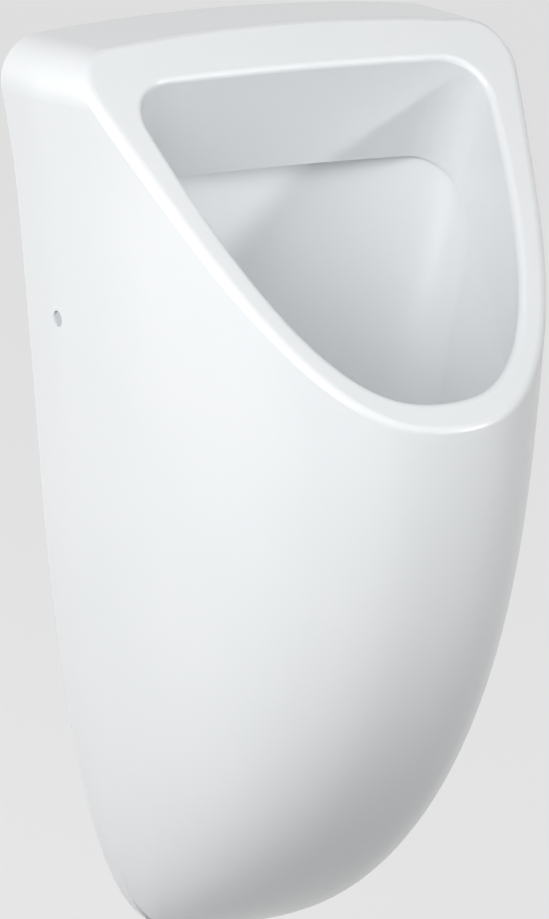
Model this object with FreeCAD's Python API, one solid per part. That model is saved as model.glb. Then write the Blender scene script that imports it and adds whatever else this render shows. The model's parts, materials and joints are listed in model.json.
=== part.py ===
import FreeCAD, Part
import math
import os

from FreeCAD import Vector

# Wall hung urinal, millimetres. The wall is the plane y = 0 and the urinal stands out
# from it towards -Y; +Z is up and the model is symmetric about x = 0. Heights below are
# counted from the lowest point of the ceramic; save() moves everything down so that the
# origin lies on the wall, midway between the two bracket holes.

# ---- ceramic: outer form --------------------------------------------------------------
BODY_HEIGHT = 600.0
BODY_WIDTH = 325.0          # across the top at the wall, if its edge were sharp
APRON_REACH = 293.5         # how far the front of the apron can stand out from the wall
SIDE_TAPER = 0.29           # share of the width lost towards the foot
SIDE_TAPER_POWER = 0.62
FOOT_ROUND_HEIGHT = 316.0   # the sides draw in below this height
FOOT_ROUND_POWER = 4.25
APRON_POWER_UP = 3.45        # side profile of the apron
APRON_POWER_OUT = 1.33
PLAN_POWER_X = 2.45         # roundness of a horizontal section
PLAN_POWER_Y = 1.95
FOOT_FLAT = 1.6             # the rounded foot ends in a small flat this far up the curve
TOP_CROWN = 10.5            # the top falls by this much from the middle to the sides
TOP_EDGE_RADIUS = 28.0
SHELF_DEPTH = 76.0          # top shelf, from the wall to the rim
RIM_RAKE = 1.0             # how far the rim comes forward per millimetre down
RIM_EDGE_RADIUS = 6.0
RIM_INNER_RADIUS = 4.0
WALL = 9.0                  # thickness of the ceramic

# ---- ceramic: mouth, flush lip, bowl ----------------------------------------------------
RIM_SIDE = 27.5             # rim width at the sides
RIM_FRONT = 19.0            # rim width at the front
RIM_TOP = 24.0              # drop from the top of the body to the mouth's upper edge
MOUTH_POWER_X = 2.5
MOUTH_POWER_Y = 2.5
MOUTH_CROWN = 5.0
MOUTH_CORNER_RADIUS = 26.0
LIP_BACK = 65.0             # back edge of the flush lip, out from the wall
LIP_DROP = 91.0             # drop from the top of the body to the lip's back edge
LIP_SLOPE = 0.88            # how much the lip falls per millimetre forward
LIP_THICKNESS = 8.0         # floor of the water channel
LIP_WALL = 6.5              # wall between channel and mouth
UNDERCUT = 12.5             # how far the bowl stands back under the lip
CHAMBER_BACK = 28.0         # rear face of the water chamber, out from the wall
FLUSH_HOLE_RADIUS = 1.7
FLUSH_HOLES = 13

BOWL_DEPTH = 253.0          # from the lip's back edge down to the floor
BOWL_FLOOR_WIDTH = 56.0     # half width of the bowl just above its floor
BOWL_FLOOR_BACK = 42.0      # reach of the floor behind the drain's axis
BOWL_FLOOR_FRONT = 60.0     # and in front of it
BOWL_CORNER = 42.0          # depth of the bowl's rounded back corners
BOWL_BACK_POWER = 2.4
BOWL_ROUND_UP = 1.7
BOWL_ROUND_OUT = 2.0
DRAIN_OUT = 92.0            # drain axis, out from the wall
DRAIN_BOSS_RADIUS = 40.0
DRAIN_FLOOR = 21.0          # thickness of the ceramic around the drain
SEAT_RADIUS = 34.0
SEAT_DEPTH = 6.0
FIT = 0.25                  # clearance between pieces that are pushed or screwed together
PLAY = 0.15                 # clearance of caps and other pieces that pull out

# ---- drain --------------------------------------------------------------------------------
WASTE_RADIUS = 22.0
WASTE_WALL = 3.0
WASTE_LENGTH = 41.0
WASTE_ROOM = 1.5            # between the waste and the hole in the ceramic
FLANGE_RADIUS = 32.0
FLANGE_THICKNESS = 3.0
GASKET_THICKNESS = 2.0
LOWER_GASKET_THICKNESS = 3.0
LOCK_NUT_RADIUS = 34.0
LOCK_NUT_HEIGHT = 10.0
LOCK_NUT_LUGS = 8
LOCK_NUT_SCALLOP = 4.0
STRAINER_RADIUS = 30.0
STRAINER_THICKNESS = 1.6
STRAINER_RISE = 3.0
STRAINER_SKIRT = 7.0
STRAINER_EDGE = 3.0
STRAINER_HOLE_RADIUS = 2.4
STRAINER_RINGS = ((0.0, 1), (7.0, 6), (13.5, 12), (23.5, 18))   # ring radius, holes

# ---- trap -----------------------------------------------------------------------------------
NECK_WALL = 5.5
NECK_HEIGHT = 18.0
NUT_GAP = 1.0               # between the lock nut and the union nut
UNION_HEIGHT = 20.0
UNION_LIP = 3.0
UNION_WALL = 6.0
UNION_GRIPS = 12
UNION_GROOVE = 2.4
WASHER_THICKNESS = 4.5
DIP_RADIUS = 18.0
DIP_WALL = 1.8
DIP_COLLAR = 3.0
WATER_SEAL = 50.0
TRAP_RADIUS = 36.0
TRAP_WALL = 3.0
TRAP_HEAD_HEIGHT = 83.0
CUP_WALL = 3.5
CUP_LAP = 18.0
CUP_DEPTH = 29.0
CUP_SEAL = 2.0
CUP_FOOT_RADIUS = 8.0
OUTLET_RADIUS = 25.0
OUTLET_WALL = 2.0
SOCKET_WALL = 3.2
SOCKET_REACH = 30.0         # open end of the trap's socket, out from the wall
OUTLET_INTO_WALL = 40.0
OUTLET_STOP_RADIUS = 27.5   # ring on the pipe that stops it at the wall
OUTLET_STOP = 4.0
OUTLET_IN_SOCKET = 22.0
OUTLET_NUT_WALL = 5.0
OUTLET_NUT_LENGTH = 18.0
OUTLET_SEAL = 3.0

# ---- water inlet -------------------------------------------------------------------------------
INLET_DROP = 40.0           # drop from the top of the body to the inlet's axis
INLET_HOLE_RADIUS = 17.5
INLET_RADIUS = 10.48        # G 1/2 male thread
INLET_BORE = 8.0
INLET_INTO_WALL = 15.0
INLET_HEXAGON_FLATS = 24.0  # hexagon that turns the connector into the wall
INLET_HEXAGON = 6.0
INLET_REACH = 54.0
CONE_FLANGE_RADIUS = 21.0
CONE_FLANGE = 3.0
CONE_PROUD = 1.0
INLET_NUT_FLATS = 30.0
INLET_NUT_HEIGHT = 8.0
SPREADER_RADIUS = 14.0
SPREADER_FRONT = 67.0
SPREADER_WALL = 2.5
SPREADER_LAP = 8.0
SPREADER_WINDOW = 0.8       # share of the free length that the window opens

# ---- hidden side fixings -------------------------------------------------------------------------
FIXING_DROP = 177.0         # drop from the top of the body to the side holes
FIXING_OUT = 41.0           # side hole, out from the wall
FIXING_SPACING = 190.0      # between the two wall screws
SIDE_HOLE_RADIUS = 5.0
BRACKET_THICKNESS = 4.0
BRACKET_HEIGHT = 40.0
BRACKET_REACH = 62.0
BRACKET_EDGE = 24.0         # from the wall screw to the end of the bracket's foot
BRACKET_BEND = 6.0
WALL_SCREW_HOLE = 4.5
BRACKET_GAP = 2.6           # between the bracket and the ceramic, filled by the sleeve
SCREW_RADIUS = 4.0
SCREW_SOCKET = 2.0
SCREW_TAIL = 12.0
CLAMP_NUT = 16.0
CLAMP_NUT_THICKNESS = 10.0
SLEEVE_FLANGE_RADIUS = 8.5
CAP_THICKNESS = 3.0
CAP_RECESS = 0.6
CAP_CHAMFER = 0.5

BEHIND = 30.0               # how far cutting bodies reach past a face
OVERCUT = 1.0               # the same for a hole through one wall
SAME = 0.01                 # two places closer than this are the same
SECTION_POINTS = 17
SECTION_LEVELS = 12
BOWL_POINTS = 28
BOWL_ROUNDS = 8             # rounds that settle a point of the bowl's edge on the lip's plane
BOWL_LEVELS = 11
BOWL_LEVEL_POWER = 1.6      # levels lie closer together near the floor


# ---- form of the ceramic ------------------------------------------------------------------------
def half_width(z):
    """Half the outer width at height z."""
    up = z / BODY_HEIGHT
    if up >= 1.0:
        return BODY_WIDTH / 2 * (1 + SIDE_TAPER * (up - 1))
    taper = 1 - SIDE_TAPER * (1 - up) ** SIDE_TAPER_POWER
    foot = min(z / FOOT_ROUND_HEIGHT, 1.0)
    return BODY_WIDTH / 2 * taper * (1 - (1 - foot) ** 2) ** (1 / FOOT_ROUND_POWER)


def reach(z):
    """How far the apron stands out from the wall at height z."""
    up = min(z / BODY_HEIGHT, 1.0)
    return APRON_REACH * (1 - (1 - up) ** APRON_POWER_UP) ** (1 / APRON_POWER_OUT)


def side_x(y_out, z, inset):
    """Half width of the skin, moved in by inset, at y_out from the wall."""
    share = y_out / (reach(z) - inset)
    return (half_width(z) - inset) * (1 - share ** PLAN_POWER_Y) ** (1 / PLAN_POWER_X)


def d_section(width, depth, z, power_x, power_y):
    """Horizontal D: a rounded front with straight legs that run past the wall."""
    points = []
    for k in range(SECTION_POINTS):
        angle = math.pi * k / (SECTION_POINTS - 1)
        c, s = math.cos(angle), math.sin(angle)
        x = width * math.copysign(abs(c) ** (2 / power_x), c)
        points.append(Vector(x, -depth * abs(s) ** (2 / power_y), z))
    points[0] = Vector(width, 0, z)
    points[-1] = Vector(-width, 0, z)
    front = Part.BSplineCurve()
    front.interpolate(Points=points, InitialTangent=Vector(0, -1, 0), FinalTangent=Vector(0, 1, 0))
    right, left = Vector(width, BEHIND, z), Vector(-width, BEHIND, z)
    return Part.Wire([
        Part.LineSegment(right, points[0]).toShape(),
        front.toShape(),
        Part.LineSegment(points[-1], left).toShape(),
        Part.LineSegment(left, right).toShape(),
    ])


def levels(low, high, count):
    """Heights that lie closer together towards the foot."""
    start = math.acos(1 - low / high)
    step = (math.pi / 2 - start) / (count - 1)
    return [high * (1 - math.cos(start + step * k)) for k in range(count)]


def skin(side, front, low, power_x=PLAN_POWER_X, power_y=PLAN_POWER_Y):
    """The outer form moved in by side and front, from low up past the top."""
    sections = []
    for z in levels(low, BODY_HEIGHT, SECTION_LEVELS) + [BODY_HEIGHT + BEHIND]:
        sections.append(d_section(half_width(z) - side, reach(z) - front, z, power_x, power_y))
    return Part.makeLoft(sections, True, False)


def prism(outline, direction):
    """Straight extrusion of a closed list of points."""
    wire = Part.makePolygon(outline + [outline[0]])
    return Part.Face(wire).extrude(direction)


def side_prism(outline):
    """Body with the given (y, z) outline, wider than the urinal."""
    points = [Vector(-BODY_WIDTH, y, z) for y, z in outline]
    return prism(points, Vector(2 * BODY_WIDTH, 0, 0))


def under_top(drop):
    """Everything under the crowned top, lowered by drop."""
    half = BODY_WIDTH
    fall = TOP_CROWN * 4
    z = BODY_HEIGHT - drop
    back = BEHIND * 2
    arc = Part.Arc(Vector(-half, back, z - fall), Vector(0, back, z), Vector(half, back, z - fall))
    low_left, low_right = Vector(-half, back, -BEHIND), Vector(half, back, -BEHIND)
    wire = Part.Wire([
        arc.toShape(),
        Part.LineSegment(Vector(half, back, z - fall), low_right).toShape(),
        Part.LineSegment(low_right, low_left).toShape(),
        Part.LineSegment(low_left, Vector(-half, back, z - fall)).toShape(),
    ])
    return Part.Face(wire).extrude(Vector(0, -APRON_REACH * 2, 0))


LIP_HEIGHT = BODY_HEIGHT - LIP_DROP
BOWL_FLOOR = LIP_HEIGHT - BOWL_DEPTH
INLET_HEIGHT = BODY_HEIGHT - INLET_DROP
FIXING_HEIGHT = BODY_HEIGHT - FIXING_DROP
RIM_LENGTH = math.hypot(1.0, RIM_RAKE)
BOSS_LOW = BOWL_FLOOR - DRAIN_FLOOR
CHAMBER_FRONT = CHAMBER_BACK + WALL


def rounded_top(inset, low):
    """The outer form moved in by inset, closed by the crowned top with its rounded edge."""
    body = skin(inset, inset, low).common(under_top(inset))
    top_edges = []
    for edge in body.Edges:
        box = edge.BoundBox
        if box.ZMin > BODY_HEIGHT - inset - TOP_CROWN * 2 and box.YMin < -SAME and box.YMax < SAME:
            top_edges.append(edge)
    return body.makeFillet(TOP_EDGE_RADIUS - inset, top_edges)


def rim_out(z, drop=0.0):
    """Distance of the rim's plane from the wall at height z, moved inwards by drop."""
    return SHELF_DEPTH + RIM_RAKE * (BODY_HEIGHT - z) - drop * RIM_LENGTH


def behind_rim(drop):
    """Everything behind the raked rim plane, moved inwards by drop."""
    top, low = BODY_HEIGHT * 1.2, -BEHIND
    return side_prism([
        (-rim_out(top, drop), top), (-rim_out(low, drop), low), (BODY_HEIGHT, low), (BODY_HEIGHT, top),
    ])


def lip_z(y_out, rise=0.0):
    """Height of the lip's plane at y_out from the wall, raised square to it by rise."""
    return LIP_HEIGHT - LIP_SLOPE * (y_out - LIP_BACK) + rise * math.hypot(1.0, LIP_SLOPE)


def under_lip(rise):
    """Everything under the lip's plane, raised by rise."""
    back, front = -BODY_HEIGHT, BODY_HEIGHT
    return side_prism([
        (-front, lip_z(front, rise)), (-front, -BODY_HEIGHT), (-back, -BODY_HEIGHT), (-back, lip_z(back, rise)),
    ])


def mouth(grow):
    """The mouth above the lip, with its sloping back band; grow makes its walls' outside."""
    sides = skin(RIM_SIDE - grow, RIM_FRONT - grow, BODY_HEIGHT / 3, MOUTH_POWER_X, MOUTH_POWER_Y)
    edge_z = BODY_HEIGHT - RIM_TOP
    edge_out = rim_out(edge_z)
    band = Vector(0, edge_out - LIP_BACK, LIP_HEIGHT - edge_z).normalize()
    lift = Vector(0, -band.z, band.y) * grow
    centre = Vector(0, -edge_out, edge_z) - band * BODY_HEIGHT + lift
    half = BODY_WIDTH / 2
    fall = Vector(0, band.z, -band.y) * MOUTH_CROWN
    left = centre + Vector(-half, 0, 0) + fall
    right = centre + Vector(half, 0, 0) + fall
    away = Vector(0, band.z, -band.y) * BODY_HEIGHT
    wire = Part.Wire([
        Part.Arc(left, centre, right).toShape(),
        Part.LineSegment(right, right + away).toShape(),
        Part.LineSegment(right + away, left + away).toShape(),
        Part.LineSegment(left + away, left).toShape(),
    ])
    under_band = Part.Face(wire).extrude(band * BODY_HEIGHT * 2)
    return sides.common(under_band).cut(under_lip(0.0))


def band_corners(solid):
    """Edges where the back band meets the mouth's two sides."""
    edge_z = BODY_HEIGHT - RIM_TOP
    found = []
    for edge in solid.Edges:
        box = edge.BoundBox
        steep = box.ZLength > (edge_z - LIP_HEIGHT) / 2
        behind = -box.YMin < rim_out(edge_z) + BEHIND * 6 and -box.YMax < LIP_BACK + BEHIND
        off_centre = abs(box.Center.x) > BODY_WIDTH / 5
        if steep and behind and off_centre:
            found.append(edge)
    return found


def outline_point(angle, width, front, back):
    """Point of the bowl's outline: the apron's plan in front, rounded corners behind."""
    c, s = math.cos(angle), math.sin(angle)
    middle = back + BOWL_CORNER
    y_out = middle + (front - middle) * max(s, 0.0)
    x = width * max(1 - (y_out / front) ** PLAN_POWER_Y, 0.0) ** (1 / PLAN_POWER_X)
    if s < 0:
        x = x * abs(c) ** (2 / BOWL_BACK_POWER)
        y_out = middle - BOWL_CORNER * (-s) ** (2 / BOWL_BACK_POWER)
    return math.copysign(x, c), y_out


def bowl_edge(angle, z, grow):
    """Point of the bowl's widest outline, taken with the body's width and reach at height z."""
    width = half_width(z) - RIM_SIDE + UNDERCUT + grow
    front = reach(z) - RIM_FRONT + UNDERCUT / 2 + grow
    return outline_point(angle, width, front, LIP_BACK - UNDERCUT - grow)


def bowl_top(angle):
    """Height at which the bowl's edge meets the lip's plane."""
    z = LIP_HEIGHT
    for _ in range(BOWL_ROUNDS):
        z = lip_z(bowl_edge(angle, z, 0.0)[1])
    return z


def bowl_section(z, grow):
    """Closed horizontal section of the bowl, grown sideways and downwards by grow."""
    points = []
    for k in range(BOWL_POINTS):
        angle = 2 * math.pi * k / BOWL_POINTS
        share = min((z + grow - BOWL_FLOOR) / (bowl_top(angle) - BOWL_FLOOR), 1.0)
        swell = (1 - (1 - share) ** BOWL_ROUND_UP) ** (1 / BOWL_ROUND_OUT)
        low_front, low_back = DRAIN_OUT + BOWL_FLOOR_FRONT + grow, DRAIN_OUT - BOWL_FLOOR_BACK - grow
        low_x, low_y = outline_point(angle, BOWL_FLOOR_WIDTH + grow, low_front, low_back)
        top_x, top_y = bowl_edge(angle, z, grow)
        points.append(Vector(low_x + (top_x - low_x) * swell, -low_y - (top_y - low_y) * swell, z))
    curve = Part.BSplineCurve()
    curve.interpolate(Points=points, PeriodicFlag=True)
    return Part.Wire([curve.toShape()])


def bowl(grow):
    """The bowl under the lip; grow makes its walls' outside."""
    low = BOWL_FLOOR - grow
    sections = []
    for k in range(BOWL_LEVELS):
        share = (k / (BOWL_LEVELS - 1)) ** BOWL_LEVEL_POWER
        sections.append(bowl_section(low + (LIP_HEIGHT + BEHIND - low) * share, grow))
    return Part.makeLoft(sections, True, False).common(under_lip(0.0))


# ---- small helpers -----------------------------------------------------------------------------------
def cylinder(radius, low, high, out=DRAIN_OUT):
    """Upright cylinder on an axis out from the wall."""
    return Part.makeCylinder(radius, high - low, Vector(0, -out, low))


def tube(outer, inner, low, high, out=DRAIN_OUT):
    """Upright tube."""
    return cylinder(outer, low, high, out).cut(cylinder(inner, low, high, out))


def lying(radius, near, far, z, x=0.0):
    """Cylinder along Y between two distances out from the wall; negative is in the wall."""
    return Part.makeCylinder(radius, far - near, Vector(x, -near, z), Vector(0, -1, 0))


def lying_tube(outer, inner, near, far, z):
    """Tube along Y."""
    return lying(outer, near, far, z).cut(lying(inner, near, far, z))


def across(radius, inner, outer, side, z=FIXING_HEIGHT):
    """Cylinder along X on the side fixing's axis, from |x| = inner to |x| = outer."""
    return Part.makeCylinder(radius, outer - inner, Vector(side * inner, -FIXING_OUT, z), Vector(side, 0, 0))


def hexagon(flats, near, far, z):
    """Hexagonal nut blank along Y."""
    corner = flats / math.sqrt(3)
    points = []
    for k in range(6):
        angle = math.pi / 3 * k
        points.append(Vector(corner * math.cos(angle), -near, z + corner * math.sin(angle)))
    return prism(points, Vector(0, near - far, 0))


# ---- ceramic -----------------------------------------------------------------------------------------
def outer_form():
    """Outside of the body with its rounded rim edges."""
    room = Part.makeBox(BODY_WIDTH * 2, APRON_REACH * 2, BODY_HEIGHT * 2,
                        Vector(-BODY_WIDTH, -APRON_REACH * 2, -BEHIND))
    body = rounded_top(0.0, FOOT_FLAT).common(behind_rim(0.0)).common(room)
    return body.makeFillet(RIM_EDGE_RADIUS, [e for e in body.Edges if on_rim(e)])


def on_rim(edge):
    """Whether both ends and the middle of an edge lie on the rim's plane."""
    first, last = edge.ParameterRange
    for share in (0.0, 0.5, 1.0):
        point = edge.valueAt(first + (last - first) * share)
        if abs(-point.y - rim_out(point.z)) > SAME * 5:
            return False
    return True


def inside_rim(edge):
    """Whether an edge of the rim's plane belongs to the mouth."""
    box = edge.BoundBox
    return max(-box.XMin, box.XMax) < BODY_WIDTH / 2 - RIM_SIDE


def flush_holes():
    """Row of holes through the channel's floor, behind the lip's back edge."""
    tilt = Vector(0, LIP_SLOPE, 1).normalize()
    holes = []
    y_out = LIP_BACK - LIP_WALL - FLUSH_HOLE_RADIUS
    spacing = (BODY_WIDTH - 4 * RIM_SIDE) / FLUSH_HOLES
    for k in range(FLUSH_HOLES):
        x = (k - (FLUSH_HOLES - 1) / 2) * spacing
        start = Vector(x, -y_out, lip_z(y_out)) - tilt * LIP_THICKNESS / 2
        holes.append(Part.makeCylinder(FLUSH_HOLE_RADIUS, LIP_THICKNESS * 2, start, tilt))
    return holes


def ceramic_body():
    """One-piece hollow body: skin, rim, channel, bowl."""
    outside = outer_form()
    inside = rounded_top(WALL, WALL).common(behind_rim(WALL))
    mouth_void = mouth(0.0)
    mouth_void = mouth_void.makeFillet(MOUTH_CORNER_RADIUS, band_corners(mouth_void))
    mouth_wall = mouth(LIP_WALL)
    mouth_wall = mouth_wall.makeFillet(MOUTH_CORNER_RADIUS + LIP_WALL, band_corners(mouth_wall))
    bowl_void = bowl(0.0)
    bowl_wall = bowl(WALL)
    lip_half = under_lip(0.0)
    channel_floor = under_lip(LIP_THICKNESS)
    tall, wide = BODY_HEIGHT * 2, BODY_WIDTH * 2
    behind_chamber = Part.makeBox(wide, CHAMBER_BACK + BEHIND, tall, Vector(-wide / 2, -CHAMBER_BACK, -BEHIND))
    in_chamber = Part.makeBox(wide, APRON_REACH * 2, tall,
                              Vector(-wide / 2, -CHAMBER_FRONT - APRON_REACH * 2, -BEHIND))
    channel = inside.common(in_chamber).cut(channel_floor).cut(mouth_wall)
    service = inside.common(lip_half).cut(bowl_wall)
    rear = inside.common(behind_chamber)
    boss = cylinder(DRAIN_BOSS_RADIUS, BOSS_LOW, BOWL_FLOOR)
    body = outside.cut(mouth_void)
    body = body.makeFillet(RIM_INNER_RADIUS, [e for e in body.Edges if on_rim(e) and inside_rim(e)])
    cuts = [
        channel,
        service.fuse(rear).cut(boss),
        bowl_void,
        cylinder(SEAT_RADIUS, BOWL_FLOOR - SEAT_DEPTH, BOWL_FLOOR + BEHIND),
        cylinder(WASTE_RADIUS + WASTE_ROOM, BOSS_LOW - BEHIND, BOWL_FLOOR + BEHIND),
        lying(INLET_HOLE_RADIUS, CHAMBER_BACK - OVERCUT, CHAMBER_FRONT + OVERCUT, INLET_HEIGHT),
    ]
    for side in (-1, 1):
        cuts.append(across(SIDE_HOLE_RADIUS, BODY_WIDTH / 3, BODY_WIDTH, side))
    return body.cut(cuts + flush_holes()).Solids[0]


# ---- drain -------------------------------------------------------------------------------------------
SEAT = BOWL_FLOOR - SEAT_DEPTH
FLANGE_LOW = SEAT + GASKET_THICKNESS
FLANGE_TOP = FLANGE_LOW + FLANGE_THICKNESS
WASTE_LOW = FLANGE_LOW - WASTE_LENGTH
LOCK_TOP = BOSS_LOW - LOWER_GASKET_THICKNESS
LOCK_LOW = LOCK_TOP - LOCK_NUT_HEIGHT


def waste_fitting():
    """Flanged waste tube through the bowl's floor."""
    flange = tube(FLANGE_RADIUS, WASTE_RADIUS - WASTE_WALL, FLANGE_LOW, FLANGE_TOP)
    barrel = tube(WASTE_RADIUS, WASTE_RADIUS - WASTE_WALL, WASTE_LOW, FLANGE_TOP)
    return flange.fuse(barrel).removeSplitter()


def gasket(low, thickness):
    """Flat rubber ring round the waste."""
    return tube(FLANGE_RADIUS, WASTE_RADIUS + FIT, low, low + thickness)


def waste_lock_nut():
    """Ring nut with finger lugs under the ceramic."""
    nut = cylinder(LOCK_NUT_RADIUS, LOCK_LOW, LOCK_TOP)
    for k in range(LOCK_NUT_LUGS):
        angle = 2 * math.pi * k / LOCK_NUT_LUGS
        y = -DRAIN_OUT + LOCK_NUT_RADIUS * math.sin(angle)
        centre = Vector(LOCK_NUT_RADIUS * math.cos(angle), y, LOCK_LOW)
        nut = nut.cut(Part.makeCylinder(LOCK_NUT_SCALLOP, LOCK_NUT_HEIGHT, centre))
    return nut.cut(cylinder(WASTE_RADIUS + FIT, LOCK_LOW, LOCK_TOP))


def drain_strainer():
    """Slightly domed perforated disc with a skirt that centres it in the waste."""
    low = FLANGE_TOP
    rise = STRAINER_RISE
    ball = (STRAINER_RADIUS ** 2 + rise ** 2) / (2 * rise)
    top = low + STRAINER_THICKNESS + rise
    outer = Part.makeSphere(ball, Vector(0, -DRAIN_OUT, top - ball))
    inner = Part.makeSphere(ball - STRAINER_THICKNESS, Vector(0, -DRAIN_OUT, top - ball))
    edge = cylinder(STRAINER_RADIUS, low, top)
    dome = outer.common(edge).cut(inner)
    rim = tube(STRAINER_RADIUS, STRAINER_RADIUS - STRAINER_EDGE, low, low + STRAINER_THICKNESS)
    skirt_radius = WASTE_RADIUS - WASTE_WALL - PLAY * 2
    skirt = tube(skirt_radius, skirt_radius - STRAINER_THICKNESS, low - STRAINER_SKIRT, low + rise)
    skirt = skirt.common(outer)
    disc = dome.fuse([rim, skirt]).removeSplitter()
    for ring, count in STRAINER_RINGS:
        for k in range(count):
            angle = 2 * math.pi * k / count
            centre = Vector(ring * math.cos(angle), -DRAIN_OUT + ring * math.sin(angle), low)
            disc = disc.cut(Part.makeCylinder(STRAINER_HOLE_RADIUS, top - low + OVERCUT, centre))
    return disc


# ---- trap --------------------------------------------------------------------------------------------
UNION_TOP = LOCK_LOW - NUT_GAP
UNION_LOW = UNION_TOP - UNION_HEIGHT
WASHER_TOP = UNION_TOP - UNION_LIP
NECK_TOP = WASHER_TOP - WASHER_THICKNESS
HEAD_TOP = NECK_TOP - NECK_HEIGHT
NECK_RADIUS = WASTE_RADIUS + FIT + NECK_WALL
HEAD_LOW = HEAD_TOP - TRAP_HEAD_HEIGHT
OUTLET_HEIGHT = HEAD_TOP - OUTLET_RADIUS - FIT - SOCKET_WALL
INVERT = OUTLET_HEIGHT - OUTLET_RADIUS + OUTLET_WALL
DIP_LOW = INVERT - WATER_SEAL
CUP_TOP = HEAD_LOW + CUP_LAP
SHOULDER = HEAD_LOW - CUP_SEAL
CUP_LOW = SHOULDER - CUP_DEPTH


def trap_union_nut():
    """Nut that draws the trap's neck up to the waste."""
    outer = NECK_RADIUS + FIT + UNION_WALL
    body = tube(outer, NECK_RADIUS + FIT, UNION_LOW, WASHER_TOP)
    lip = tube(outer, WASTE_RADIUS + FIT, WASHER_TOP, UNION_TOP)
    nut = body.fuse(lip).removeSplitter()
    grip = outer + UNION_GROOVE / 2
    for k in range(UNION_GRIPS):
        angle = 2 * math.pi * k / UNION_GRIPS
        centre = Vector(grip * math.cos(angle), -DRAIN_OUT + grip * math.sin(angle), UNION_LOW)
        nut = nut.cut(Part.makeCylinder(UNION_GROOVE, UNION_HEIGHT, centre))
    return nut


def trap_cone_washer():
    """Rubber washer between the neck and the nut."""
    return tube(NECK_RADIUS, WASTE_RADIUS + PLAY, NECK_TOP, WASHER_TOP)


def trap_dip_tube():
    """Tube hung in the neck, whose end stays under water."""
    collar = cylinder(WASTE_RADIUS, HEAD_TOP, HEAD_TOP + DIP_COLLAR)
    barrel = cylinder(DIP_RADIUS, DIP_LOW, HEAD_TOP)
    bore = cylinder(DIP_RADIUS - DIP_WALL, DIP_LOW, HEAD_TOP + DIP_COLLAR)
    return collar.fuse(barrel).removeSplitter().cut(bore)


def trap_body():
    """Trap head: neck, vessel and the socket towards the wall."""
    vessel = cylinder(TRAP_RADIUS, HEAD_LOW, HEAD_TOP)
    neck = cylinder(NECK_RADIUS, HEAD_TOP - TRAP_WALL, NECK_TOP)
    socket = lying(OUTLET_RADIUS + FIT + SOCKET_WALL, SOCKET_REACH, DRAIN_OUT, OUTLET_HEIGHT)
    solid = vessel.fuse([neck, socket])
    solid = solid.cut(cylinder(TRAP_RADIUS - TRAP_WALL, HEAD_LOW, HEAD_TOP - TRAP_WALL))
    solid = solid.cut(cylinder(DIP_RADIUS + FIT, HEAD_LOW, HEAD_TOP))
    solid = solid.cut(cylinder(WASTE_RADIUS + FIT, HEAD_TOP, NECK_TOP))
    stop = SOCKET_REACH + OUTLET_IN_SOCKET
    solid = solid.cut(lying(OUTLET_RADIUS + FIT, SOCKET_REACH, stop, OUTLET_HEIGHT))
    bore = lying(OUTLET_RADIUS - OUTLET_WALL, SOCKET_REACH, DRAIN_OUT, OUTLET_HEIGHT)
    return solid.cut(bore).removeSplitter()


def trap_cup():
    """Bottle of the trap, screwed up over the vessel."""
    outer = TRAP_RADIUS + FIT + CUP_WALL
    collar = cylinder(outer, SHOULDER - CUP_WALL, CUP_TOP)
    bottle = cylinder(TRAP_RADIUS, CUP_LOW, SHOULDER)
    foot = [e for e in bottle.Edges if abs(e.BoundBox.ZMax - CUP_LOW) < SAME]
    bottle = bottle.makeFillet(CUP_FOOT_RADIUS, foot)
    solid = collar.fuse(bottle)
    solid = solid.cut(cylinder(TRAP_RADIUS + FIT, SHOULDER, CUP_TOP))
    return solid.cut(cylinder(TRAP_RADIUS - CUP_WALL, CUP_LOW + CUP_WALL, SHOULDER)).removeSplitter()


def trap_cup_seal():
    """Flat ring between vessel and bottle."""
    return tube(TRAP_RADIUS, TRAP_RADIUS - TRAP_WALL, SHOULDER, HEAD_LOW)


def outlet_pipe():
    """Waste pipe from the trap into the wall, with a ring that stops it there."""
    far = SOCKET_REACH + OUTLET_IN_SOCKET
    bore = OUTLET_RADIUS - OUTLET_WALL
    pipe = lying_tube(OUTLET_RADIUS, bore, -OUTLET_INTO_WALL, far, OUTLET_HEIGHT)
    ring = lying_tube(OUTLET_STOP_RADIUS, bore, 0.0, OUTLET_STOP, OUTLET_HEIGHT)
    return pipe.fuse(ring).removeSplitter()


def outlet_seal():
    """Rubber ring pressed against the socket's end."""
    near = SOCKET_REACH - OUTLET_SEAL
    return lying_tube(OUTLET_RADIUS + FIT + SOCKET_WALL, OUTLET_RADIUS + PLAY, near, SOCKET_REACH, OUTLET_HEIGHT)


def outlet_nut():
    """Compression nut over the socket's end."""
    inner = OUTLET_RADIUS + FIT * 2 + SOCKET_WALL
    near = SOCKET_REACH - OUTLET_SEAL - UNION_LIP
    far = near + OUTLET_NUT_LENGTH
    body = lying_tube(inner + OUTLET_NUT_WALL, inner, near + UNION_LIP, far, OUTLET_HEIGHT)
    lip = lying_tube(inner + OUTLET_NUT_WALL, OUTLET_RADIUS + FIT, near, near + UNION_LIP, OUTLET_HEIGHT)
    return body.fuse(lip).removeSplitter()


# ---- water inlet -------------------------------------------------------------------------------------
def inlet_connector():
    """Threaded tube from the wall into the water chamber, with a hexagon at the wall."""
    rod = lying(INLET_RADIUS, -INLET_INTO_WALL, INLET_REACH, INLET_HEIGHT)
    grip = hexagon(INLET_HEXAGON_FLATS, 0.0, INLET_HEXAGON, INLET_HEIGHT)
    bore = lying(INLET_BORE, -INLET_INTO_WALL, INLET_REACH, INLET_HEIGHT)
    return rod.fuse(grip).cut(bore).removeSplitter()


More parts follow.
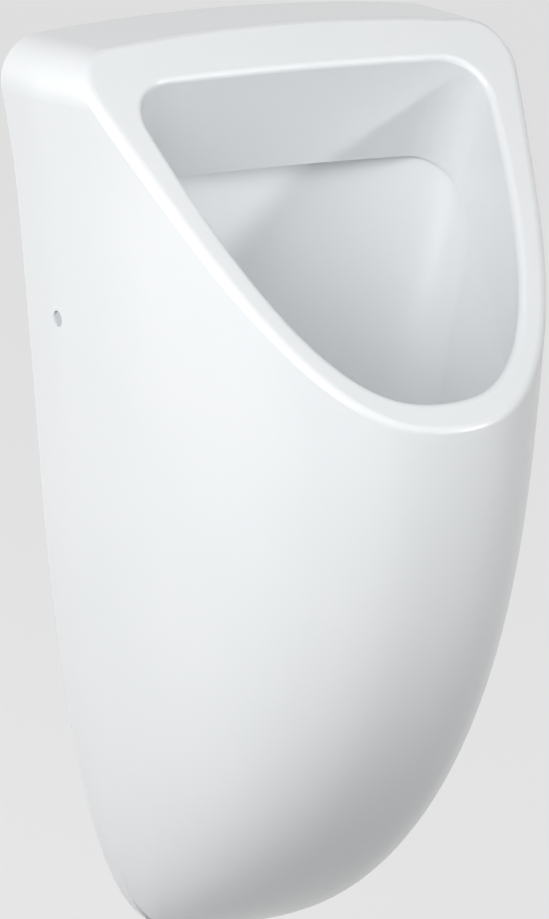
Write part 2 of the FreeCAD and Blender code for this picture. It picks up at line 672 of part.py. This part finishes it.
def inlet_cone_seal():
    """Rubber seal in the inlet hole, with a flange behind it."""
    plug = lying(INLET_HOLE_RADIUS - PLAY, CHAMBER_BACK, CHAMBER_FRONT + CONE_PROUD, INLET_HEIGHT)
    flange = lying(CONE_FLANGE_RADIUS, CHAMBER_BACK - CONE_FLANGE, CHAMBER_BACK, INLET_HEIGHT)
    hole = lying(INLET_RADIUS + PLAY, CHAMBER_BACK - CONE_FLANGE, CHAMBER_FRONT + CONE_PROUD, INLET_HEIGHT)
    return plug.fuse(flange).cut(hole)


def inlet_lock_nut():
    """Hexagon nut that presses the seal home."""
    near = CHAMBER_BACK - CONE_FLANGE - INLET_NUT_HEIGHT
    far = CHAMBER_BACK - CONE_FLANGE
    blank = hexagon(INLET_NUT_FLATS, near, far, INLET_HEIGHT)
    return blank.cut(lying(INLET_RADIUS + PLAY, near, far, INLET_HEIGHT))


def flush_distributor():
    """Cap on the connector's end with a window to each side."""
    near = INLET_REACH - SPREADER_LAP
    cap = lying(SPREADER_RADIUS, near, SPREADER_FRONT, INLET_HEIGHT)
    cap = cap.cut(lying(INLET_RADIUS + PLAY, near, SPREADER_FRONT - SPREADER_WALL, INLET_HEIGHT))
    half = (SPREADER_FRONT - SPREADER_WALL - INLET_REACH) / 2
    middle = INLET_REACH + half
    start = Vector(-SPREADER_RADIUS * 2, -middle, INLET_HEIGHT)
    window = Part.makeCylinder(half * SPREADER_WINDOW, SPREADER_RADIUS * 4, start, Vector(1, 0, 0))
    return cap.cut(window)


# ---- hidden side fixings, built for side = -1 (left) and 1 (right) ----------------------------------
HOLE_OUTER_X = side_x(FIXING_OUT, FIXING_HEIGHT, 0.0)
HOLE_INNER_X = side_x(FIXING_OUT + SLEEVE_FLANGE_RADIUS, FIXING_HEIGHT - SLEEVE_FLANGE_RADIUS, WALL) - FIT
BRACKET_X = HOLE_INNER_X - BRACKET_GAP
CAP_OUTER = HOLE_OUTER_X - CAP_RECESS
CAP_INNER = CAP_OUTER - CAP_THICKNESS
SCREW_END = CAP_INNER - FIT
NUT_X = BRACKET_X - BRACKET_THICKNESS


def wall_bracket(side):
    """Steel angle: a foot on the wall and a leg beside the ceramic."""
    low = FIXING_HEIGHT - BRACKET_HEIGHT / 2
    inner = BRACKET_X - BRACKET_THICKNESS
    foot_end = FIXING_SPACING / 2 - BRACKET_EDGE
    profile = [(foot_end, 0), (BRACKET_X, 0), (BRACKET_X, -BRACKET_REACH), (inner, -BRACKET_REACH),
               (inner, -BRACKET_THICKNESS), (foot_end, -BRACKET_THICKNESS)]
    solid = prism([Vector(side * x, y, low) for x, y in profile], Vector(0, 0, BRACKET_HEIGHT))
    bends = []
    for edge in solid.Edges:
        box = edge.BoundBox
        on_inside = abs(abs(box.Center.x) - inner) < SAME and abs(box.Center.y + BRACKET_THICKNESS) < SAME
        if box.ZLength > BRACKET_HEIGHT / 2 and on_inside:
            bends.append(edge)
    solid = solid.makeFillet(BRACKET_BEND, bends)
    solid = solid.cut(across(SCREW_RADIUS + FIT, inner - OVERCUT, BRACKET_X + OVERCUT, side))
    x = side * FIXING_SPACING / 2
    return solid.cut(lying(WALL_SCREW_HOLE, -OVERCUT, BRACKET_THICKNESS + OVERCUT, FIXING_HEIGHT, x))


def clamp_nut(side):
    """Square threaded block on the bracket's leg."""
    half = CLAMP_NUT / 2
    far = NUT_X - CLAMP_NUT_THICKNESS
    x = far if side > 0 else -NUT_X
    corner = Vector(x, -FIXING_OUT - half, FIXING_HEIGHT - half)
    block = Part.makeBox(CLAMP_NUT_THICKNESS, CLAMP_NUT, CLAMP_NUT, corner)
    return block.cut(across(SCREW_RADIUS + PLAY, far, NUT_X, side))


def locking_screw(side):
    """Set screw whose outer end sits in the ceramic's side hole."""
    start = NUT_X - CLAMP_NUT_THICKNESS - SCREW_TAIL
    rod = across(SCREW_RADIUS, start, SCREW_END, side)
    corner = SCREW_SOCKET / math.cos(math.pi / 6)
    points = []
    for k in range(6):
        angle = math.pi / 3 * k
        y = -FIXING_OUT + corner * math.cos(angle)
        points.append(Vector(side * SCREW_END, y, FIXING_HEIGHT + corner * math.sin(angle)))
    return rod.cut(prism(points, Vector(-side * SCREW_RADIUS, 0, 0)))


def hole_sleeve(side):
    """Flanged plastic sleeve between the screw and the ceramic."""
    barrel = across(SIDE_HOLE_RADIUS - PLAY, BRACKET_X, SCREW_END, side)
    flange = across(SLEEVE_FLANGE_RADIUS, BRACKET_X, HOLE_INNER_X, side)
    return barrel.fuse(flange).cut(across(SCREW_RADIUS + PLAY, BRACKET_X, SCREW_END, side)).removeSplitter()


def cover_cap(side):
    """Small cap, just under the surface, that closes the hole."""
    cap = across(SIDE_HOLE_RADIUS - PLAY, CAP_INNER, CAP_OUTER, side)
    rim = [e for e in cap.Edges if abs(abs(e.BoundBox.Center.x) - CAP_OUTER) < SAME]
    return cap.makeChamfer(CAP_CHAMFER, rim)


def save(name, shape):
    """Write one node, moved into the part's own frame."""
    placed = shape.copy()
    placed.translate(Vector(0, 0, -FIXING_HEIGHT))
    placed.exportStep("parts/" + name + ".step")
    print(name, "solids", len(placed.Solids), "valid", placed.isValid(), "volume", round(placed.Volume / 1000, 2))


if __name__ == "__main__":
    os.makedirs("parts", exist_ok=True)
    save("ceramic_body", ceramic_body())
    save("drain_strainer", drain_strainer())
    save("waste_fitting", waste_fitting())
    save("waste_top_gasket", gasket(SEAT, GASKET_THICKNESS))
    save("waste_bottom_gasket", gasket(LOCK_TOP, LOWER_GASKET_THICKNESS))
    save("waste_lock_nut", waste_lock_nut())
    save("trap_union_nut", trap_union_nut())
    save("trap_cone_washer", trap_cone_washer())
    save("trap_dip_tube", trap_dip_tube())
    save("trap_body", trap_body())
    save("trap_cup", trap_cup())
    save("trap_cup_seal", trap_cup_seal())
    save("outlet_nut", outlet_nut())
    save("outlet_seal", outlet_seal())
    save("outlet_pipe", outlet_pipe())
    save("inlet_connector", inlet_connector())
    save("inlet_cone_seal", inlet_cone_seal())
    save("inlet_lock_nut", inlet_lock_nut())
    save("flush_distributor", flush_distributor())
    for side, word in ((-1, "left"), (1, "right")):
        save(word + "_wall_bracket", wall_bracket(side))
        save(word + "_clamp_nut", clamp_nut(side))
        save(word + "_locking_screw", locking_screw(side))
        save(word + "_hole_sleeve", hole_sleeve(side))
        save(word + "_cover_cap", cover_cap(side))
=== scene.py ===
import json
import math

import bpy
from mathutils import Matrix, Vector


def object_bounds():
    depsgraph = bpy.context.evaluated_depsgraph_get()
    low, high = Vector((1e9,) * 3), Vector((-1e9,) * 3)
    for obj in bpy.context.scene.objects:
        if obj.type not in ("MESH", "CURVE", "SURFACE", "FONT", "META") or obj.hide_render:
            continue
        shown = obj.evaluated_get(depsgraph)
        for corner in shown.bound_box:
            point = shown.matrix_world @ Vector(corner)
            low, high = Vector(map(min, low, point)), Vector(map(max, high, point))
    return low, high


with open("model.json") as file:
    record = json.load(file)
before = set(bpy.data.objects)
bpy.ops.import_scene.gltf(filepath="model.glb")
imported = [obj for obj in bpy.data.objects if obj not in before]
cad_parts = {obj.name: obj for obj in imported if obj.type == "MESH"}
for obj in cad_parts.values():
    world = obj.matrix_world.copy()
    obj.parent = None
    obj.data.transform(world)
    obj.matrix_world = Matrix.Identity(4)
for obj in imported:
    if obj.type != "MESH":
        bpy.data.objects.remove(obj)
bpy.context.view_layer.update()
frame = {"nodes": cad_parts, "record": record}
nodes = frame["nodes"]

# ---- camera: fitted to the photograph's outline, rim and lip ----------------------------
PHOTO_SIZE = (549, 919)             # pixels
CAMERA_AZIMUTH = math.radians(-28.76)
CAMERA_HEIGHT_ANGLE = math.radians(13.60)
CAMERA_DISTANCE = 2.997             # from the point it turns about
CAMERA_TARGET = Vector((0.0, -0.112, -0.089))
CAMERA_FOCUS_PIXELS = 4861.0        # focal length in the photograph's pixels
CAMERA_CENTRE_SHIFT = (39.1, -1.3)  # pixels right and down
SENSOR_MM = 36.0
FAR_CLIP = 50.0                     # metres


def direction_to(azimuth, height_angle):
    """Unit vector from the urinal towards the camera or a lamp; azimuth 0 is straight in front."""
    across = math.cos(height_angle)
    return Vector((
        math.sin(azimuth) * across,
        -math.cos(azimuth) * across,
        math.sin(height_angle),
    ))


def make_camera():
    """Camera on the viewer's left, a little above the rim."""
    back = direction_to(CAMERA_AZIMUTH, CAMERA_HEIGHT_ANGLE)
    right = Vector((math.cos(CAMERA_AZIMUTH), math.sin(CAMERA_AZIMUTH), 0.0))
    up = back.cross(right)
    place = CAMERA_TARGET + back * CAMERA_DISTANCE
    data = bpy.data.cameras.new("camera")
    camera = bpy.data.objects.new("camera", data)
    bpy.context.scene.collection.objects.link(camera)
    turn = Matrix((right, up, back)).transposed().to_4x4()
    camera.matrix_world = Matrix.Translation(place) @ turn
    longest = max(PHOTO_SIZE)
    data.sensor_fit = "AUTO"
    data.sensor_width = SENSOR_MM
    data.lens = CAMERA_FOCUS_PIXELS * SENSOR_MM / longest
    data.shift_x = -CAMERA_CENTRE_SHIFT[0] / longest
    data.shift_y = CAMERA_CENTRE_SHIFT[1] / longest
    data.clip_end = FAR_CLIP
    bpy.context.scene.camera = camera


# ---- materials -----------------------------------------------------------------------------
NOISE_MIDDLE = (0.35, 0.65)         # noise values between which a colour turns
GLAZE_COLOUR = (0.82, 0.84, 0.855)
GLAZE_DARKER = (0.81, 0.832, 0.846)
GLAZE_PALER = (0.83, 0.848, 0.864)
GLAZE_ROUGHNESS = (0.26, 0.32)
GLAZE_COAT = 0.4
GLAZE_COAT_ROUGHNESS = 0.16
GLAZE_IOR = 1.5
GLAZE_DRIFT_SCALE = 6.0             # of the noise that changes its colour and gloss
GLAZE_RIPPLE = (22.0, 2.0)          # scale and detail of its surface's noise
GLAZE_RELIEF = (0.05, 0.002)        # strength, and depth in metres
SPECKLE_RELIEF = (0.1, 0.0005)
ROUGHNESS_SPREAD = 0.2              # share by which a speckled surface's roughness varies


def new_material(name, colour, roughness, metallic=0.0):
    """Principled material with its node tree."""
    material = bpy.data.materials.new(name)
    material.use_nodes = True
    shader = material.node_tree.nodes["Principled BSDF"]
    shader.inputs["Base Color"].default_value = (*colour, 1.0)
    shader.inputs["Roughness"].default_value = roughness
    shader.inputs["Metallic"].default_value = metallic
    return material, shader


def add_noise(material, scale, detail=3.0):
    """Noise in object space."""
    tree = material.node_tree
    place = tree.nodes.new("ShaderNodeTexCoord")
    noise = tree.nodes.new("ShaderNodeTexNoise")
    noise.inputs["Scale"].default_value = scale
    noise.inputs["Detail"].default_value = detail
    tree.links.new(place.outputs["Object"], noise.inputs["Vector"])
    return noise


def vary_colour(material, shader, noise, low, high):
    """Colour that drifts between two values with the noise."""
    tree = material.node_tree
    ramp = tree.nodes.new("ShaderNodeValToRGB")
    for stop, position, colour in zip(ramp.color_ramp.elements, NOISE_MIDDLE, (low, high)):
        stop.position = position
        stop.color = (*colour, 1.0)
    tree.links.new(noise.outputs["Fac"], ramp.inputs["Fac"])
    tree.links.new(ramp.outputs["Color"], shader.inputs["Base Color"])


def vary_roughness(material, shader, noise, low, high):
    """Roughness that drifts with the noise."""
    tree = material.node_tree
    spread = tree.nodes.new("ShaderNodeMapRange")
    spread.inputs["To Min"].default_value = low
    spread.inputs["To Max"].default_value = high
    tree.links.new(noise.outputs["Fac"], spread.inputs["Value"])
    tree.links.new(spread.outputs["Result"], shader.inputs["Roughness"])


def add_bump(material, shader, noise, strength, distance):
    """Fine relief from the noise."""
    tree = material.node_tree
    bump = tree.nodes.new("ShaderNodeBump")
    bump.inputs["Strength"].default_value = strength
    bump.inputs["Distance"].default_value = distance
    tree.links.new(noise.outputs["Fac"], bump.inputs["Height"])
    tree.links.new(bump.outputs["Normal"], shader.inputs["Normal"])


def glaze():
    """White sanitary glaze: a coat over a faintly uneven ground."""
    material, shader = new_material("glaze", GLAZE_COLOUR, sum(GLAZE_ROUGHNESS) / 2)
    shader.inputs["Coat Weight"].default_value = GLAZE_COAT
    shader.inputs["Coat Roughness"].default_value = GLAZE_COAT_ROUGHNESS
    shader.inputs["IOR"].default_value = GLAZE_IOR
    broad = add_noise(material, GLAZE_DRIFT_SCALE)
    vary_colour(material, shader, broad, GLAZE_DARKER, GLAZE_PALER)
    vary_roughness(material, shader, broad, *GLAZE_ROUGHNESS)
    fine = add_noise(material, *GLAZE_RIPPLE)
    add_bump(material, shader, fine, *GLAZE_RELIEF)
    return material


def speckled(name, colour, roughness, metallic, spread, scale):
    """Plain material whose colour and roughness vary a little."""
    material, shader = new_material(name, colour, roughness, metallic)
    noise = add_noise(material, scale)
    low = tuple(c * (1.0 - spread) for c in colour)
    high = tuple(min(c * (1.0 + spread), 1.0) for c in colour)
    vary_colour(material, shader, noise, low, high)
    smooth = roughness * (1.0 - ROUGHNESS_SPREAD)
    rough = min(roughness * (1.0 + ROUGHNESS_SPREAD), 1.0)
    vary_roughness(material, shader, noise, smooth, rough)
    add_bump(material, shader, noise, *SPECKLE_RELIEF)
    return material


MATERIALS = {
    "glaze": glaze(),
    "stainless": speckled("stainless", (0.60, 0.60, 0.61), 0.28, 1.0, 0.06, 180.0),
    "chromed_brass": speckled("chromed_brass", (0.75, 0.76, 0.78), 0.10, 1.0, 0.03, 60.0),
    "rubber": speckled("rubber", (0.030, 0.030, 0.034), 0.75, 0.0, 0.20, 300.0),
    "white_plastic": speckled("white_plastic", (0.74, 0.74, 0.72), 0.42, 0.0, 0.03, 90.0),
    "grey_plastic": speckled("grey_plastic", (0.24, 0.25, 0.26), 0.50, 0.0, 0.06, 120.0),
    "cap_plastic": speckled("cap_plastic", (0.50, 0.52, 0.55), 0.35, 0.0, 0.04, 150.0),
    "brass": speckled("brass", (0.70, 0.52, 0.24), 0.26, 1.0, 0.06, 140.0),
    "zinc_steel": speckled("zinc_steel", (0.52, 0.54, 0.56), 0.38, 1.0, 0.12, 70.0),
}
for entry in frame["record"]["subparts"]:
    node = nodes[entry["node"]]
    node.data.materials.clear()
    node.data.materials.append(MATERIALS[entry["material_slot"]])


# ---- floor, backdrop and light ---------------------------------------------------------------
FLOOR_DROP = 0.26        # the urinal hangs this far above the floor
FLOOR_GLOW = 0.75        # share of the floor's look that no shadow dims
FLOOR_BOUNCE = 0.40      # share of the lamps' light that the floor sends back up
FLOOR_HALF = 12.0        # half the floor's width
FLOOR_GREY = 0.80
FLOOR_ROUGHNESS = 0.9
FLOOR_GLOW_GREY = 0.93
WORLD_LIGHT = 0.08
WORLD_LOOK = 0.74        # as bright as the floor looks far off, so that no horizon shows
WORLD_SHINE = 0.93       # what the glaze and the metals mirror


def grey(value):
    """Opaque grey."""
    return (value, value, value, 1.0)


def seen_rays(tree):
    """1 for rays that show the surroundings to the camera, also by way of gloss or glass."""
    rays = tree.nodes.new("ShaderNodeLightPath")
    seen = rays.outputs["Is Camera Ray"]
    for name in ("Is Glossy Ray", "Is Transmission Ray"):
        either = tree.nodes.new("ShaderNodeMath")
        either.operation = "MAXIMUM"
        tree.links.new(seen, either.inputs[0])
        tree.links.new(rays.outputs[name], either.inputs[1])
        seen = either.outputs["Value"]
    return seen


def mixed(tree, share, first, second):
    """Shader that turns from the first to the second with share."""
    mix = tree.nodes.new("ShaderNodeMixShader")
    if isinstance(share, float):
        mix.inputs["Fac"].default_value = share
    else:
        tree.links.new(share, mix.inputs["Fac"])
    tree.links.new(first, mix.inputs[1])
    tree.links.new(second, mix.inputs[2])
    return mix.outputs["Shader"]


def make_floor():
    """Pale floor that the camera sees almost evenly bright, with the urinal's shadow."""
    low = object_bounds()[0][2] - FLOOR_DROP
    mesh = bpy.data.meshes.new("floor")
    corners = [(x * FLOOR_HALF, y * FLOOR_HALF, low) for x, y in ((-1, -1), (1, -1), (1, 1), (-1, 1))]
    mesh.from_pydata(corners, [], [(0, 1, 2, 3)])
    floor = bpy.data.objects.new("floor", mesh)
    bpy.context.scene.collection.objects.link(floor)
    material, shader = new_material("floor", (FLOOR_GREY,) * 3, FLOOR_ROUGHNESS)
    tree = material.node_tree
    glow = tree.nodes.new("ShaderNodeEmission")
    glow.inputs["Color"].default_value = grey(FLOOR_GLOW_GREY)
    pale = mixed(tree, FLOOR_GLOW, shader.outputs["BSDF"], glow.outputs["Emission"])
    bounce = tree.nodes.new("ShaderNodeBsdfDiffuse")
    bounce.inputs["Color"].default_value = grey(FLOOR_BOUNCE)
    surface = mixed(tree, seen_rays(tree), bounce.outputs["BSDF"], pale)
    tree.links.new(surface, tree.nodes["Material Output"].inputs["Surface"])
    mesh.materials.append(material)


def make_world():
    """Weak even light, from surroundings that look as pale as the floor."""
    world = bpy.data.worlds.new("world")
    world.use_nodes = True
    tree = world.node_tree
    light = tree.nodes["Background"]
    light.inputs["Color"].default_value = grey(1.0)
    light.inputs["Strength"].default_value = WORLD_LIGHT
    look = tree.nodes.new("ShaderNodeBackground")
    look.inputs["Color"].default_value = grey(WORLD_LOOK)
    shine = tree.nodes.new("ShaderNodeBackground")
    shine.inputs["Color"].default_value = grey(WORLD_SHINE)
    direct = tree.nodes.new("ShaderNodeLightPath").outputs["Is Camera Ray"]
    pale = mixed(tree, direct, shine.outputs["Background"], look.outputs["Background"])
    shown = mixed(tree, seen_rays(tree), light.outputs["Background"], pale)
    tree.links.new(shown, tree.nodes["World Output"].inputs["Surface"])
    bpy.context.scene.world = world


LAMP_DISTANCE = 3.0                 # metres from the point that a lamp is aimed at
LIT_POINT = Vector((0.0, -0.15, -0.10))
SOFT_LAMP_SIZE = 2.6
# name: azimuth and height angle in degrees, watts
SOFT_LAMPS = {
    "key": (-54.0, 27.0, 77.0),
    "side": (-112.0, 8.0, 41.0),
    "front": (12.0, 38.0, 22.0),
}
MOUTH_POINT = Vector((0.0, -0.12, 0.05))
MOUTH_LAMP = (38.0, 3.0, 330.0)     # as for the soft lamps
MOUTH_LAMP_RADIUS = 0.34
MOUTH_LAMP_CONE = math.radians(10.0)


def hang_lamp(name, data, aim, azimuth, height_angle):
    """Lamp at the common distance, turned to the point it lights."""
    back = direction_to(math.radians(azimuth), math.radians(height_angle))
    lamp = bpy.data.objects.new(name, data)
    lamp.location = aim + back * LAMP_DISTANCE
    lamp.rotation_euler = (-back).to_track_quat("-Z", "Y").to_euler()
    bpy.context.scene.collection.objects.link(lamp)


def make_soft_lamp(name, azimuth, height_angle, power):
    """Large square lamp that lights the whole urinal."""
    data = bpy.data.lights.new(name, "AREA")
    data.shape = "SQUARE"
    data.size = SOFT_LAMP_SIZE
    data.energy = power
    hang_lamp(name, data, LIT_POINT, azimuth, height_angle)


def make_mouth_lamp(azimuth, height_angle, power):
    """Narrow lamp with a soft edge that reaches into the bowl."""
    data = bpy.data.lights.new("mouth", "SPOT")
    data.spot_size = MOUTH_LAMP_CONE
    data.spot_blend = 1.0
    data.shadow_soft_size = MOUTH_LAMP_RADIUS
    data.energy = power
    hang_lamp("mouth", data, MOUTH_POINT, azimuth, height_angle)


make_camera()
make_floor()
make_world()
for lamp_name, lamp_values in SOFT_LAMPS.items():
    make_soft_lamp(lamp_name, *lamp_values)
make_mouth_lamp(*MOUTH_LAMP)
bpy.context.scene.view_settings.view_transform = "Standard"
